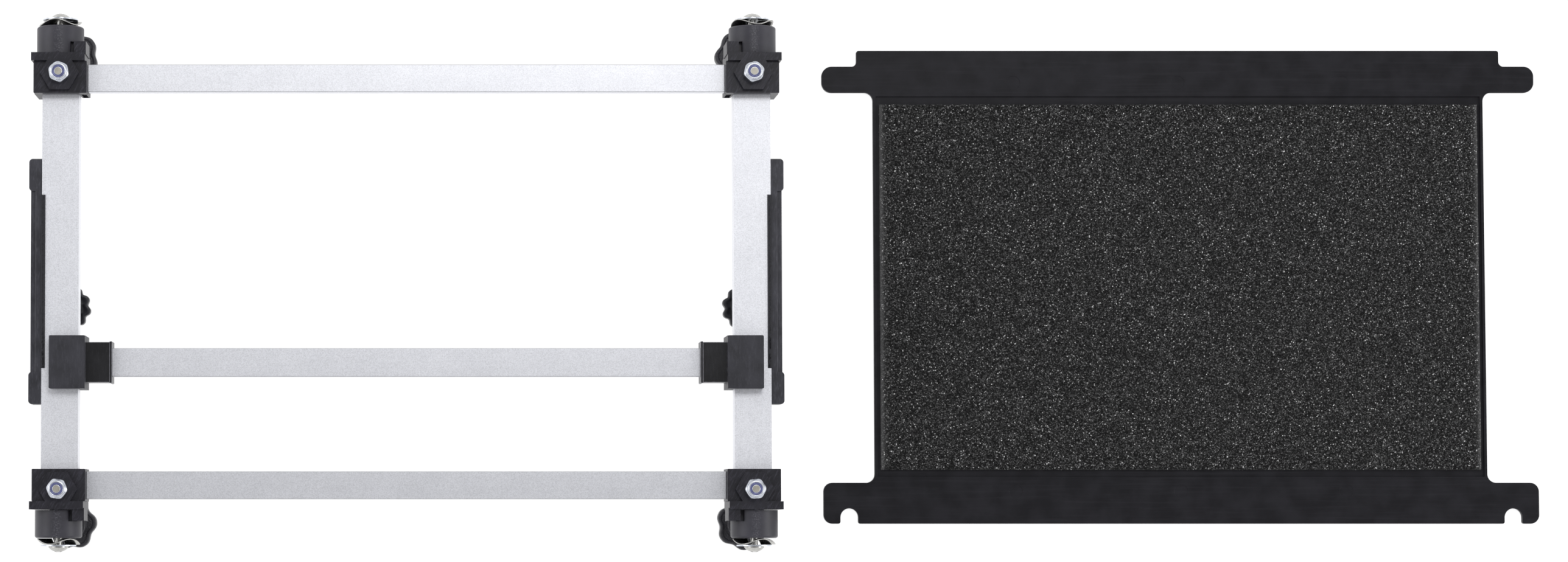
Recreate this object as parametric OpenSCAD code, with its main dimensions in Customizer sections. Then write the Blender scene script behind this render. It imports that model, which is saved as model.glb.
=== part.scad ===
// Adjustable frame on four folding legs, with a sliding crossbar, and the
// loose foam-faced board that clamps under the legs, lying beside it.
// X runs across the frame and on to the board, Y to the rear, Z up.

/* [Rails and tubes] */
// Distance between the centrelines of the two side rails
rail_span = 470; // [420:5:600]
// Width of a side rail
rail_w = 25; // [22:0.5:32]
// Height of a side rail
rail_h = 15; // [12:0.5:20]
// Wall of a side rail
rail_wall = 1.5; // [1:0.1:2.5]
// Distance between the centrelines of the two end tubes
end_span = 277; // [240:1:360]
// Width of an end tube
end_w = 18.8; // [16:0.1:20]
// Width of the sliding crossbar
bar_w = 19.4; // [16:0.1:22]
// Height of the end tubes and of the crossbar
tube_h = 9; // [8:0.5:11]
// Wall of the end tubes and of the crossbar
tube_wall = 1.2; // [1:0.1:1.8]

/* [Corner blocks] */
// Thickness of a block's top plate, over the rail
plate_t = 8; // [6:0.5:10]
// Reach of the top plate from the end tube's centreline towards the frame's middle
plate_in = 11; // [10:0.1:14]
// Reach of the top plate from the end tube's centreline to the flange
plate_out = 10.9; // [10.4:0.1:14]
// Thickness of the wall on either side of the rail
cheek_t = 5; // [4:0.5:8]
// Depth of the outer wall and of the flange below the rail
cheek_drop = 13; // [8:0.5:16]
// Depth of the inner wall below the rail
cheek_in_drop = 5; // [3:0.5:8]
// Thickness of the flange that carries the leg
flange_t = 5.5; // [4:0.5:8]
// Height of the flange above the top plate
flange_rise = 3; // [2:0.5:5]
// Height of the hexagonal boss on the top plate
boss_h = 3; // [2:0.5:4]
// Width across the flats of the hexagonal boss
boss_af = 22.8; // [20:0.1:26]
// Length of the spigot inside the end tube
spigot_len = 22; // [12:1:30]

/* [Corner bolts] */
// Diameter of the corner bolt
bolt_d = 8; // [6:1:10]
// Width across the flats of the nut and of the bolt's head
nut_af = 13; // [10:0.5:17]
// Height of the lock nut
nut_h = 8; // [6:0.5:10]
// Distance of the bolt from the end tube's centreline, towards the leg
bolt_out = 2.6; // [0:0.1:3]

/* [Legs] */
// Diameter of the pivot barrel at the top of a leg
barrel_d = 32; // [28:0.5:36]
// Length of the pivot barrel
barrel_len = 19; // [17:0.5:26]
// Diameter of the spigot that the barrel turns on
pivot_d = 12; // [10:0.5:14]
// Distance of the leg's pivot outward from the rail's centreline
pivot_out = 1; // [0:0.5:2]
// Length from the pivot to the end of the leg
leg_len = 60.5; // [52:0.5:120]
// Outer diameter of the leg tube
leg_d = 15; // [14:0.5:16]
// Wall of the leg tube
leg_wall = 1.5; // [1:0.1:2]

/* [Feet] */
// Diameter over the lobes of the star knob
star_d = 36.2; // [30:0.1:40]
// Depth of the notch between two lobes
star_notch = 2.4; // [1.5:0.1:4]
// Height of the star-shaped part of the knob
star_h = 10; // [8:0.5:14]
// Diameter of the knob's round boss
star_boss_d = 22; // [18:0.5:25]
// Height of the knob's round boss
star_boss_h = 5; // [4:0.5:8]
// Diameter of the rubber pad under the knob
pad_d = 20; // [16:1:24]
// Thickness of the rubber pad
pad_t = 2; // [1.5:0.5:4]
// Space between the knob and the end of the leg, where the board is clamped
clamp_gap = 3.5; // [3.5:0.5:8]

/* [Crossbar sliders] */
// Distance of the crossbar in front of the frame's middle
bar_in_front = 55.2; // [20:0.1:90]
// Length of a slider along the rail
slider_len = 36; // [30:1:44]
// Width of the rail that the slider leaves bare on the outside
slider_bare = 6; // [4:0.5:10]
// Height of the slider's top above the rail
slider_rise = 9; // [7:0.5:11]
// Thickness of the slider's wall beside the rail
slider_wall = 5; // [4:0.5:8]
// Length of the sleeve that holds the crossbar's end
sleeve_len = 18; // [12:0.5:26]
// Width of the sleeve
sleeve_w = 28.2; // [26:0.1:34]
// Height of the sleeve
sleeve_h = 19; // [16:0.5:22]
// Distance of the clamp knob behind the slider's middle
knob_back = 40; // [38:1:60]
// Diameter over the lobes of the clamp knob
knob_d = 30.5; // [26:0.5:34]

/* [Side grips] */
// Length of a side grip
grip_len = 167; // [120:1:190]
// Length of a grip's end cap
grip_cap_len = 22; // [16:1:30]
// Distance that the grip's end caps stand out from the rail
grip_cap_t = 8.8; // [8:0.1:12]
// Distance that the bar between the caps stands out from the rail
grip_bar_t = 7.6; // [6:0.1:8]
// Height of a grip
grip_h = 14; // [10:0.5:18]
// Length of the soft strip along the grip
strip_len = 118; // [80:1:140]

/* [Board] */
// Distance of the board from the frame, along the floor
board_gap = 36.4; // [25:0.1:120]
// Thickness of the board
board_t = 3.2; // [2.5:0.1:3.4]
// Depth of the board from front to rear
board_depth = 333.7; // [300:1:380]
// Width of the board's middle part
board_w = 430; // [428:1:440]
// Width of the strip along the rear edge
rear_strip_w = 453; // [444:1:460]
// Width over the board's ears
ear_span = 502; // [490:1:510]
// Width of the notch in a front ear
notch_w = 12.5; // [10:0.5:14]
// Thickness of the foam
foam_t = 3.5; // [2:0.5:12]
// Width of the foam
foam_w = 421.5; // [380:0.5:424]
// Depth of the foam from front to rear
foam_depth = 258; // [220:1:258]

/* [Hidden] */

$fn = 64;
gap = 0.3;          // between pieces that lie side by side
fit = 0.2;          // between a spigot or tube and the socket that takes it
run_fit = 0.06;     // radial play where one piece turns on another
hole_play = 0.2;    // radial play of a bolt or screw in its hole

// Heights, built up from the floor
star_z = pad_t;
star_boss_z = star_z + star_h;
board_seat_z = star_boss_z + star_boss_h;
leg_end_z = board_seat_z + clamp_gap;
pivot_z = leg_end_z + leg_len;
rail_z = pivot_z - rail_h / 2 - 0.5;
rail_top = rail_z + rail_h;
plate_top = rail_top + plate_t;
cheek_z = rail_z - cheek_drop;
cheek_in_z = rail_z - cheek_in_drop;
flange_top = max(plate_top + flange_rise, pivot_z + barrel_d / 2 + 2);
boss_top = plate_top + boss_h;
tube_z = rail_top - tube_h;

// Places across the frame
rail_x = rail_span / 2;
rail_in = rail_x - rail_w / 2;
rail_out = rail_x + rail_w / 2;
cheek_in = rail_in - gap - cheek_t - 0.5;
cheek_out = rail_out + gap + cheek_t;
pivot_x = rail_x + pivot_out;
leg_x = rail_x;
flange_half = barrel_d / 2 + 2.2;

// Places from front to rear
end_y = end_span / 2;
plate_y = end_y - plate_in;
flange_y = end_y + plate_out;
bolt_y = end_y + bolt_out;
pivot_face = flange_y + flange_t;
barrel_y = pivot_face + gap;
barrel_end = barrel_y + barrel_len;
leg_y = barrel_y + barrel_len / 2;

// Hollow in the front of a block's inner wall
pocket_wall = 1;
pocket_deep = 1.6;

// Corner bolts and lock nuts
bolt_head_h = 5.3;
bolt_washer_t = 1.6;
bolt_washer_d = 16;
bolt_foot_z = rail_z - bolt_washer_t - bolt_head_h;
bolt_tip_d = bolt_d - 2.4;
bolt_tip_h = 1;
bolt_cone_h = 1.2;
nut_collar_h = 2.2;     // of the round part above the hexagon
nut_collar_d = nut_af - 1.4;
nut_taper = 1;
nut_chamfer = 0.6;
ring_h = 0.8;
ring_d = bolt_d + 0.6;
ring_hole_d = bolt_d - 2.2;
ring_sink = 0.3;        // of the ring below the top of the nut
ring_z = boss_top + nut_h - ring_h - ring_sink;

// Grips and their screws
grip_mid_z = rail_top - grip_h / 2 - 0.3;
grip_screw_d = 4;

// Pivot fastening
pivot_screw_d = 5;
wave_bow = 3.5;
wave_t = 0.7;
wave_d = 29;
flat_washer_t = 1;
flat_washer_d = 24;
wave_y = barrel_end + gap + wave_bow / 2;
flat_washer_y = wave_y + wave_bow / 2 + wave_t + 0.1;
screw_head_y = flat_washer_y + flat_washer_t;
screw_head_d = 13.5;
screw_head_h = 4;

// Degrees that loose round pieces stand turned: [[rear left, rear right], [front left, front right]]
wave_turn = [[200, 20], [70, 130]];
star_turn = [[25, 3], [5, 24]];
clamp_turn = [11, 21];

// Leg hub
neck_r = leg_d / 2 + 1.7;
neck_drop = 29;
leg_top_z = pivot_z - pivot_d / 2 - 2;
lug_reach = barrel_d / 2 + 2.2;
lug_top = 9;
lug_h = 6;
stop_wall_x = pivot_x - barrel_d / 2 - gap;
stop_wall_t = 2.5;
stop_len = 7.6;
tab_over = 5.2;        // of the tab over the barrel's side
tab_x = pivot_x - barrel_d / 2 + tab_over;
tab_room = 0.4;        // between the tab's corner and the turning barrel
tab_z = pivot_z + sqrt(pow(barrel_d / 2 + tab_room, 2) - pow(barrel_d / 2 - tab_over, 2));
slot_x = tab_x + 2.8;
slot_z = pivot_z + 9;
insert_len = 16;
insert_lip = 1.5;
stud_d = 8;
stud_in_leg = 13;
stud_in_knob = 12;

// Crossbar
bar_y = -bar_in_front;
slider_top = rail_top + slider_rise;
slider_in = rail_in - gap - slider_wall;
slider_out = rail_out - slider_bare;
slider_y = bar_y - slider_len / 2;
tongue_t = 7.4;
tongue_z = rail_z - gap - tongue_t;
tongue_margin = 1.5;
tongue_in = rail_in + tongue_margin;
knob_x = rail_x - 2;
knob_y = bar_y + knob_back;
tongue_end = knob_y + 11.5;
clamp_stud_d = 6;
knob_drop = 4;         // bare stud between the tongue and the knob
knob_boss_h = 11.3;
knob_disc_h = 9;
knob_boss_top = tongue_z - knob_drop;
knob_disc_top = knob_boss_top - knob_boss_h;
liner_t = 1;
sleeve_in = slider_in - sleeve_len;
sleeve_screw_x = slider_in - sleeve_len / 2;
sleeve_screw_d = 4;
bar_end = slider_in - 1;
tube_mid_z = rail_top - tube_h / 2;

// Board, in its own frame: Y counts forward from the rear edge
board_left = rail_out + grip_cap_t + board_gap;
board_x = board_left + ear_span / 2;
board_rear = board_depth / 2 + 2.5;
rear_ear_y = 11.2;
rear_ear_d = 18.5;
front_ear_d = 28.8;
notch_x = leg_x - 2;
notch_deep = notch_w / 2 + 4.5;
recess_t = 1.2;
recess_rim = 2.2;
foam_rear = 38;
foam_front_room = 4.7;
foam_rear_room = 5.6;

// The whole model is centred on the floor
low_x = -rail_out - grip_cap_t;
high_x = board_x + ear_span / 2;
middle_x = (low_x + high_x) / 2;

// ---- helpers ----

// Puts what is drawn for the rear right corner at the corner named by the signs
module at_corner(side, end) {
    translate([-middle_x, 0, 0])
        mirror([side < 0 ? 1 : 0, 0, 0])
            mirror([0, end < 0 ? 1 : 0, 0])
                children();
}

// Puts what is drawn for the right-hand side on the side named by the sign
module at_side(side) {
    at_corner(side, 1) children();
}

// All four corners at once, for groups of identical fasteners
module at_all_corners() {
    for (side = [-1, 1], end = [-1, 1]) at_corner(side, end) children();
}

// A box given by its lowest and highest corners
module block(low, high) {
    translate(low) cube(high - low);
}

// A rectangle with round corners, as true arcs
module round_rect(w, d, r) {
    translate([r, 0]) square([w - 2 * r, d]);
    translate([0, r]) square([w, d - 2 * r]);
    for (x = [r, w - r], y = [r, d - r]) translate([x, y]) circle(r);
}

// A box with its four upright edges rounded
module round_block(low, high, r) {
    translate(low)
        linear_extrude(high[2] - low[2])
            round_rect(high[0] - low[0], high[1] - low[1], r);
}

// The material that fills an inner corner, as a true arc
module inner_fillet(r) {
    difference() {
        square(r);
        translate([r, r]) circle(r);
    }
}

// A cylinder along Y, from y, of length len
module rod_y(x, y, z, d, len) {
    translate([x, y, z]) rotate([-90, 0, 0]) cylinder(d = d, h = len);
}

// A rectangular tube along X, from -half to half
module tube_x(half, y, z, w, h, wall) {
    difference() {
        block([-half, y - w / 2, z], [half, y + w / 2, z + h]);
        block([-half - 1, y - w / 2 + wall, z + wall], [half + 1, y + w / 2 - wall, z + h - wall]);
    }
}

// A hexagon across the flats, its corners towards +X and -X
module hexagon(af) {
    circle(d = af / cos(30), $fn = 6);
}

// The outline of a knob with broad round lobes and narrower notches, the first lobe turned by turn
module lobed(d, lobes, notch, points, turn) {
    polygon([for (i = [0 : points - 1])
        let (a = 360 * i / points,
             r = d / 2 - notch * pow((1 - cos(lobes * a)) / 2, 1.4))
            [r * cos(a + turn), r * sin(a + turn)]]);
}

// ---- rails and tubes ----

module side_rail() {
    rail_end = flange_y - gap;
    color("gainsboro")
        difference() {
            block([rail_in, -rail_end, rail_z], [rail_out, rail_end, rail_top]);
            block([rail_in + rail_wall, -rail_end - 1, rail_z + rail_wall],
                  [rail_out - rail_wall, rail_end + 1, rail_top - rail_wall]);
            for (y = [-bolt_y, bolt_y])
                translate([rail_x, y, rail_z - 1])
                    cylinder(d = bolt_d + 2 * hole_play, h = rail_h + 2);
            for (y = grip_screw_places())
                translate([rail_out - rail_wall - 1, y, grip_mid_z])
                    rotate([0, 90, 0]) cylinder(d = grip_screw_d + 2 * hole_play, h = rail_wall + 2);
        }
}

module end_tube() {
    color("gainsboro")
        translate([-middle_x, 0, 0])
            tube_x(cheek_in, end_y, tube_z, end_w, tube_h, tube_wall);
}

module crossbar_tube() {
    color("silver")
        translate([-middle_x, 0, 0])
            tube_x(bar_end, bar_y, tube_z, bar_w, tube_h, tube_wall);
}

// ---- corner blocks ----

module corner_block() {
    spigot_w = end_w - 2 * tube_wall - 2 * fit;
    spigot_h = tube_h - 2 * tube_wall - 2 * fit;
    color("#26262a")
        difference() {
            union() {
                round_block([cheek_in, plate_y, rail_top + 0.05], [cheek_out, flange_y, plate_top], 0.6);
                block([cheek_in, plate_y, cheek_in_z], [rail_in - gap, flange_y, rail_top + 1]);
                block([rail_out + gap, plate_y, cheek_z], [cheek_out, flange_y, rail_top + 1]);
                block([pivot_x - flange_half, flange_y, cheek_z],
                      [pivot_x + flange_half, pivot_face, flange_top]);
                block([cheek_in - spigot_len, end_y - spigot_w / 2, tube_mid_z - spigot_h / 2],
                      [cheek_in + 1, end_y + spigot_w / 2, tube_mid_z + spigot_h / 2]);
                translate([rail_x, bolt_y, plate_top - 1])
                    linear_extrude(boss_h + 1) hexagon(boss_af);
                leg_stop();
                rod_y(pivot_x, pivot_face - 1, pivot_z, pivot_d, barrel_len + 1 + gap);
                translate([pivot_x, pivot_face - 0.4, pivot_z + barrel_d / 2 + tab_room])
                    cylinder(r = 1.4, h = 1.4);
            }
            block([cheek_in + pocket_wall, plate_y - 1, cheek_in_z + pocket_wall],
                  [rail_in - gap - pocket_wall, plate_y + pocket_deep, rail_top - pocket_wall]);
            translate([rail_x, bolt_y, rail_top - 1])
                cylinder(d = bolt_d + 2 * hole_play, h = plate_t + boss_h + 2);
            rod_y(pivot_x, flange_y - 1, pivot_z, pivot_screw_d + 2 * hole_play, barrel_len + flange_t + 3);
        }
}

// The tab over the barrel and the wall beside it that stops the leg upright
module leg_stop() {
    tab_top = flange_top - 1;
    block([stop_wall_x - stop_wall_t, pivot_face - 1, tab_z], [tab_x, pivot_face + stop_len, tab_top]);
    block([stop_wall_x - stop_wall_t, pivot_face - 1, pivot_z - lug_top],
          [stop_wall_x, pivot_face + stop_len, tab_top]);
}

module corner_bolt() {
    shank_h = boss_top + nut_h - bolt_foot_z - bolt_tip_h - bolt_cone_h;
    translate([rail_x, bolt_y, bolt_foot_z]) {
        linear_extrude(bolt_head_h) rotate(15) hexagon(nut_af);
        cylinder(d = bolt_d, h = shank_h);
        translate([0, 0, shank_h]) cylinder(d1 = bolt_d, d2 = bolt_tip_d, h = bolt_cone_h);
        cylinder(d = bolt_tip_d, h = shank_h + bolt_cone_h + bolt_tip_h + 0.2);
    }
}

module corner_washer() {
    translate([rail_x, bolt_y, rail_z - bolt_washer_t])
        difference() {
            cylinder(d = bolt_washer_d, h = bolt_washer_t);
            translate([0, 0, -1]) cylinder(d = bolt_d + 2 * hole_play, h = bolt_washer_t + 2);
        }
}

module corner_nut() {
    flat_h = nut_h - nut_collar_h;
    corner_d = nut_af / cos(30) - 0.4;
    translate([rail_x, bolt_y, boss_top])
        difference() {
            union() {
                intersection() {
                    linear_extrude(flat_h) rotate(20) hexagon(nut_af);
                    union() {
                        cylinder(d = corner_d, h = flat_h - nut_chamfer);
                        translate([0, 0, flat_h - nut_chamfer])
                            cylinder(d1 = corner_d, d2 = nut_af, h = nut_chamfer);
                    }
                }
                cylinder(d = nut_collar_d, h = nut_h - nut_taper);
                translate([0, 0, nut_h - nut_taper])
                    cylinder(d1 = nut_collar_d, d2 = nut_collar_d - 2 * nut_taper, h = nut_taper);
            }
            translate([0, 0, -1]) cylinder(d = bolt_d + 0.1, h = nut_h + 2);
            translate([0, 0, nut_h - ring_h - ring_sink]) cylinder(d = ring_d, h = ring_h + 1);
        }
}

module nut_lock_ring() {
    translate([rail_x, bolt_y, ring_z])
        difference() {
            cylinder(d = ring_d - 0.1, h = ring_h);
            translate([0, 0, -1]) cylinder(d = ring_hole_d, h = ring_h + 2);
        }
}

// ---- side grips ----

function grip_screw_places() = [for (s = [-1, 1]) s * (grip_len / 2 - grip_cap_len / 2)];

module side_grip() {
    low = grip_mid_z - grip_h / 2;
    high = grip_mid_z + grip_h / 2;
    start = rail_out + 0.05;
    bar_half = grip_len / 2 - grip_cap_len;
    shelf = 3.8;
    dot_pitch = 25.5;
    dots_half = floor((bar_half - 2) / dot_pitch);
    color("#2b2b30")
        difference() {
            union() {
                block([start, -bar_half - 1, low], [rail_out + shelf, bar_half + 1, high]);
                block([start, -bar_half - 1, low + 1], [rail_out + grip_bar_t, bar_half + 1, high - 1.4]);
                translate([rail_out + shelf, 0, high - 0.9])
                    rotate([90, 0, 0]) cylinder(r = 0.9, h = 2 * bar_half + 2, center = true);
                for (s = [-1, 1])
                    grip_cap(s * (grip_len / 2 - grip_cap_len / 2), start, low, high);
                for (i = [-dots_half : dots_half])
                    translate([rail_out + shelf + 1.6, i * dot_pitch, high - 1.6])
                        cylinder(d = 1.5, h = 0.5);
            }
            for (y = grip_screw_places()) {
                translate([start - 1, y, grip_mid_z])
                    rotate([0, 90, 0]) cylinder(d = grip_screw_d + 2 * hole_play, h = grip_cap_t + 3);
                translate([rail_out + grip_cap_t - 2.6, y, grip_mid_z])
                    rotate([0, 90, 0]) cylinder(d = 8, h = 4);
            }
        }
}

// An end cap, its outer edge rounded towards the ends of the grip
module grip_cap(y, start, low, high) {
    translate([start, y - grip_cap_len / 2, low])
        linear_extrude(high - low) {
            square([grip_cap_t - 4, grip_cap_len]);
            round_rect(grip_cap_t - 0.05, grip_cap_len, 2.5);
        }
}

module grip_strip() {
    color("#1d1d20")
        block([rail_out - 2.4, -strip_len / 2, rail_top + 0.05],
              [rail_out + 0.6, strip_len / 2, rail_top + 1.5]);
}

module grip_screw(y) {
    head_t = 2.2;
    translate([rail_out + grip_cap_t - 0.3, y, grip_mid_z])
        rotate([0, -90, 0])
            difference() {
                union() {
                    cylinder(d = 7.4, h = head_t);
                    cylinder(d = grip_screw_d, h = grip_cap_t + rail_wall + 2);
                }
                for (a = [0, 90]) rotate(a) translate([-2, -0.5, -1]) cube([4, 1, 2.2]);
            }
}

module grip_screws() {
    color("silver")
        for (side = [-1, 1], y = grip_screw_places()) at_side(side) grip_screw(y);
}

// ---- pivot fastening ----

module pivot_screw() {
    translate([pivot_x, screw_head_y, pivot_z])
        rotate([-90, 0, 0])
            difference() {
                union() {
                    pan_head(screw_head_d, screw_head_h);
                    translate([0, 0, -screw_head_y + flange_y + 2])
                        cylinder(d = pivot_screw_d, h = screw_head_y - flange_y - 1);
                }
                for (a = [45, 135])
                    rotate(a) translate([-3.2, -0.6, screw_head_h - 1.8]) cube([6.4, 1.2, 3]);
            }
}

// A domed screw head: a cylinder whose top is a part of a sphere
module pan_head(d, h) {
    dome_r = (d * d / 4 + h * h) / (2 * h) + 1.2;
    intersection() {
        cylinder(d = d, h = h);
        translate([0, 0, h - dome_r]) sphere(dome_r);
    }
}

// A ring bent into three waves: each ring section follows the cosine of its angle
module wave_washer(turn) {
    steps = 60;
    radii = [wave_d / 2, wave_d / 2, 4.5, 4.5];
    lifts = [-wave_t / 2, wave_t / 2, wave_t / 2, -wave_t / 2];
    points = [for (i = [0 : steps - 1], k = [0 : 3])
        let (a = 360 * i / steps)
            [radii[k] * cos(a), wave_bow / 2 * cos(3 * (a - turn)) + lifts[k], radii[k] * sin(a)]];
    faces = [for (i = [0 : steps - 1], k = [0 : 3], half = [0, 1])
        let (j = (i + 1) % steps, m = (k + 1) % 4)
            half == 0 ? [4 * i + k, 4 * j + m, 4 * j + k] : [4 * i + k, 4 * i + m, 4 * j + m]];
    translate([pivot_x, wave_y + wave_t / 2, pivot_z]) polyhedron(points, faces);
}

module wave_washers() {
    color("gainsboro")
        for (side = [-1, 1], end = [-1, 1])
            at_corner(side, end) wave_washer(wave_turn[end < 0 ? 1 : 0][side < 0 ? 0 : 1]);
}

module flat_washer() {
    difference() {
        rod_y(pivot_x, flat_washer_y, pivot_z, flat_washer_d, flat_washer_t - 0.05);
        rod_y(pivot_x, flat_washer_y - 1, pivot_z, pivot_screw_d + 2 * hole_play, flat_washer_t + 2);
    }
}

// ---- legs ----

module leg_hub() {
    edge_r = 1.6;
    bore = pivot_d + 2 * run_fit;
    socket_z = pivot_z - neck_drop;
    color("#38383d")
        difference() {
            union() {
                translate([pivot_x, barrel_y, pivot_z])
                    rotate([-90, 0, 0])
                        rotate_extrude($fn = 96) {
                            square([barrel_d / 2, barrel_len - edge_r]);
                            square([barrel_d / 2 - edge_r, barrel_len]);
                            translate([barrel_d / 2 - edge_r, barrel_len - edge_r]) circle(edge_r);
                        }
                translate([leg_x, leg_y, socket_z]) cylinder(r = neck_r, h = neck_drop - pivot_d);
                translate([pivot_x, barrel_y + 0.6, pivot_z])
                    rotate([-90, 0, 0])
                        linear_extrude(barrel_len - 1.2)
                            polygon([[-13, 6], [13, 6], [7.5, 23], [-8.5, 23]]);
                block([pivot_x - lug_reach, barrel_y + 0.2, pivot_z - lug_top - gap - lug_h],
                      [pivot_x - 8, barrel_y + stop_len, pivot_z - lug_top - gap]);
            }
            rod_y(pivot_x, barrel_y - 1, pivot_z, bore, barrel_len + 2);
            block([pivot_x - barrel_d, barrel_y - 1, slot_z],
                  [slot_x, barrel_y + stop_len, pivot_z + barrel_d]);
            translate([leg_x, leg_y, socket_z - 1])
                cylinder(d = leg_d + 2 * run_fit, h = leg_top_z - socket_z + 1 + gap);
        }
}

module leg_tube() {
    color("gainsboro")
        translate([leg_x, leg_y, leg_end_z + insert_lip])
            difference() {
                cylinder(d = leg_d, h = leg_top_z - leg_end_z - insert_lip);
                translate([0, 0, -1]) cylinder(d = leg_d - 2 * leg_wall, h = leg_top_z);
            }
}

module leg_insert() {
    color("#2b2b2f")
        translate([leg_x, leg_y, leg_end_z])
            difference() {
                union() {
                    cylinder(d = leg_d, h = insert_lip - 0.02);
                    cylinder(d = leg_d - 2 * leg_wall - 0.1, h = insert_len);
                }
                translate([0, 0, -1]) cylinder(d = stud_d + 2 * run_fit, h = insert_len + 2);
            }
}

// ---- feet ----

module star_knob(end, side) {
    rim = 2.4;
    web_sink = 1;
    turn = star_turn[end][side];
    color("#2b2b30")
        translate([leg_x, leg_y, star_z])
            difference() {
                union() {
                    difference() {
                        linear_extrude(star_h) lobed(star_d, 6, star_notch, 90, turn);
                        translate([0, 0, star_h - web_sink])
                            linear_extrude(web_sink + 1)
                                lobed(star_d - 2 * rim, 6, star_notch, 90, turn);
                    }
                    cylinder(d = star_boss_d, h = star_h + star_boss_h);
                }
                translate([0, 0, star_h + star_boss_h - stud_in_knob])
                    cylinder(d = stud_d + 0.1, h = stud_in_knob + 1);
            }
}

module foot_stud() {
    color("silver")
        translate([leg_x, leg_y, board_seat_z - stud_in_knob])
            cylinder(d = stud_d, h = stud_in_knob + clamp_gap + stud_in_leg);
}

module foot_pad() {
    color("#1a1a1a")
        translate([leg_x, leg_y, 0]) cylinder(d = pad_d, h = pad_t);
}

// ---- crossbar sliders ----

module slider() {
    liner_room = liner_t + gap;
    far_y = slider_y + slider_len;
    color("#37373b")
        difference() {
            union() {
                round_block([slider_in, slider_y, rail_top + liner_room],
                            [slider_out, far_y, slider_top], 0.9);
                block([slider_in, slider_y, tongue_z], [rail_in - gap, far_y, slider_top - 2]);
                block([slider_in, slider_y, tongue_z], [slider_out, far_y, rail_z - gap]);
                block([tongue_in, slider_y + 2, tongue_z],
                      [slider_out - tongue_margin, tongue_end, rail_z - gap]);
            }
            translate([knob_x, knob_y, tongue_z - 1])
                cylinder(d = clamp_stud_d + 2 * run_fit, h = tongue_t + 2);
        }
}

module glide_liner() {
    color("ivory")
        block([rail_in + 0.5, slider_y + 1, rail_top + gap],
              [slider_out - 0.5, slider_y + slider_len - 1, rail_top + gap + liner_t]);
}

module tube_sleeve() {
    rim_t = 1.6;
    low = tube_mid_z - sleeve_h / 2;
    high = tube_mid_z + sleeve_h / 2;
    color("#232327")
        difference() {
            union() {
                block([sleeve_in + rim_t, bar_y - sleeve_w / 2 + 0.5, low + 0.4],
                      [slider_in, bar_y + sleeve_w / 2 - 0.5, high - 0.4]);
                block([sleeve_in, bar_y - sleeve_w / 2, low],
                      [sleeve_in + rim_t, bar_y + sleeve_w / 2, high]);
            }
            block([sleeve_in - 1, bar_y - bar_w / 2 - fit / 2, tube_z - fit / 2],
                  [slider_in - 0.8, bar_y + bar_w / 2 + fit / 2, rail_top + fit / 2]);
            translate([sleeve_screw_x, bar_y, low - 1])
                cylinder(d = sleeve_screw_d + 2 * hole_play, h = tube_z - low + 2);
        }
}

// The screw under each sleeve, its tip against the crossbar
module sleeve_screw() {
    low = tube_mid_z - sleeve_h / 2;
    translate([sleeve_screw_x, bar_y, low - 2.4])
        difference() {
            union() {
                cylinder(d = 7.5, h = 2.3);
                cylinder(d = sleeve_screw_d, h = tube_z - low + 2.3);
            }
            for (a = [0, 90]) rotate(a) translate([-2, -0.5, -1]) cube([4, 1, 2.2]);
        }
}

module clamp_knob(turn) {
    color("#1f1f22")
        translate([knob_x, knob_y, knob_disc_top - knob_disc_h])
            difference() {
                union() {
                    linear_extrude(knob_disc_h) lobed(knob_d, 10, 2, 120, turn);
                    cylinder(d = 15, h = knob_disc_h + knob_boss_h);
                }
                translate([0, 0, knob_disc_h]) cylinder(d = clamp_stud_d + 0.1, h = knob_boss_h + 1);
            }
}

module clamp_stud() {
    color("silver")
        translate([knob_x, knob_y, knob_disc_top])
            cylinder(d = clamp_stud_d, h = rail_z - gap - knob_disc_top);
}

// ---- board ----

// The outline of the right half, X from the board's middle and Y forward from its rear edge
module board_half() {
    half = board_w / 2;
    ear = ear_span / 2;
    strip = rear_strip_w / 2;
    front_ear_y = board_depth - front_ear_d;
    strip_fillet = 3.4;
    ear_fillet = 6;
    square([half, board_depth]);
    round_rect(strip, rear_ear_y + rear_ear_d, 1.7);
    square([strip - 2, rear_ear_y]);
    translate([0, rear_ear_y]) round_rect(ear, rear_ear_d, 7);
    translate([0, front_ear_y]) round_rect(ear, front_ear_d, 6.2);
    translate([strip, rear_ear_y]) mirror([0, 1]) inner_fillet(strip_fillet);
    translate([half, rear_ear_y + rear_ear_d]) inner_fillet(ear_fillet);
    translate([half, front_ear_y]) mirror([0, 1]) inner_fillet(ear_fillet);
}

// A notch open to the front edge, its mouth rounded
module notch() {
    r = notch_w / 2;
    mouth_r = 1.5;
    end_y = board_depth - notch_deep + r;
    translate([notch_x, end_y]) circle(r);
    translate([notch_x - r, end_y]) square([notch_w, notch_deep]);
    for (s = [0, 1])
        translate([notch_x, board_depth])
            mirror([s, 0])
                translate([r, 0])
                    mirror([0, 1])
                        inner_fillet(mouth_r);
}

module board_outline() {
    difference() {
        union() {
            board_half();
            mirror([1, 0]) board_half();
        }
        for (s = [0, 1]) mirror([s, 0]) notch();
    }
}

// The round marks of the moulding pins, three along each band
module pin_marks() {
    for (x = [-116, 0, 116], y = [22.7, board_depth - 22.7]) translate([x, y]) circle(d = 9.6);
}

module board_plate() {
    recess_w = foam_w + 2 * recess_rim;
    recess_depth = foam_depth + foam_rear_room + foam_front_room;
    mark_sink = 0.25;
    color("#2e2e31")
        translate([board_x - middle_x, board_rear, 0])
            mirror([0, 1, 0])
                difference() {
                    linear_extrude(board_t) board_outline();
                    translate([-recess_w / 2, foam_rear - foam_rear_room, board_t - recess_t])
                        cube([recess_w, recess_depth, recess_t + 1]);
                    translate([0, 0, board_t - mark_sink]) linear_extrude(mark_sink + 1) pin_marks();
                }
}

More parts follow.
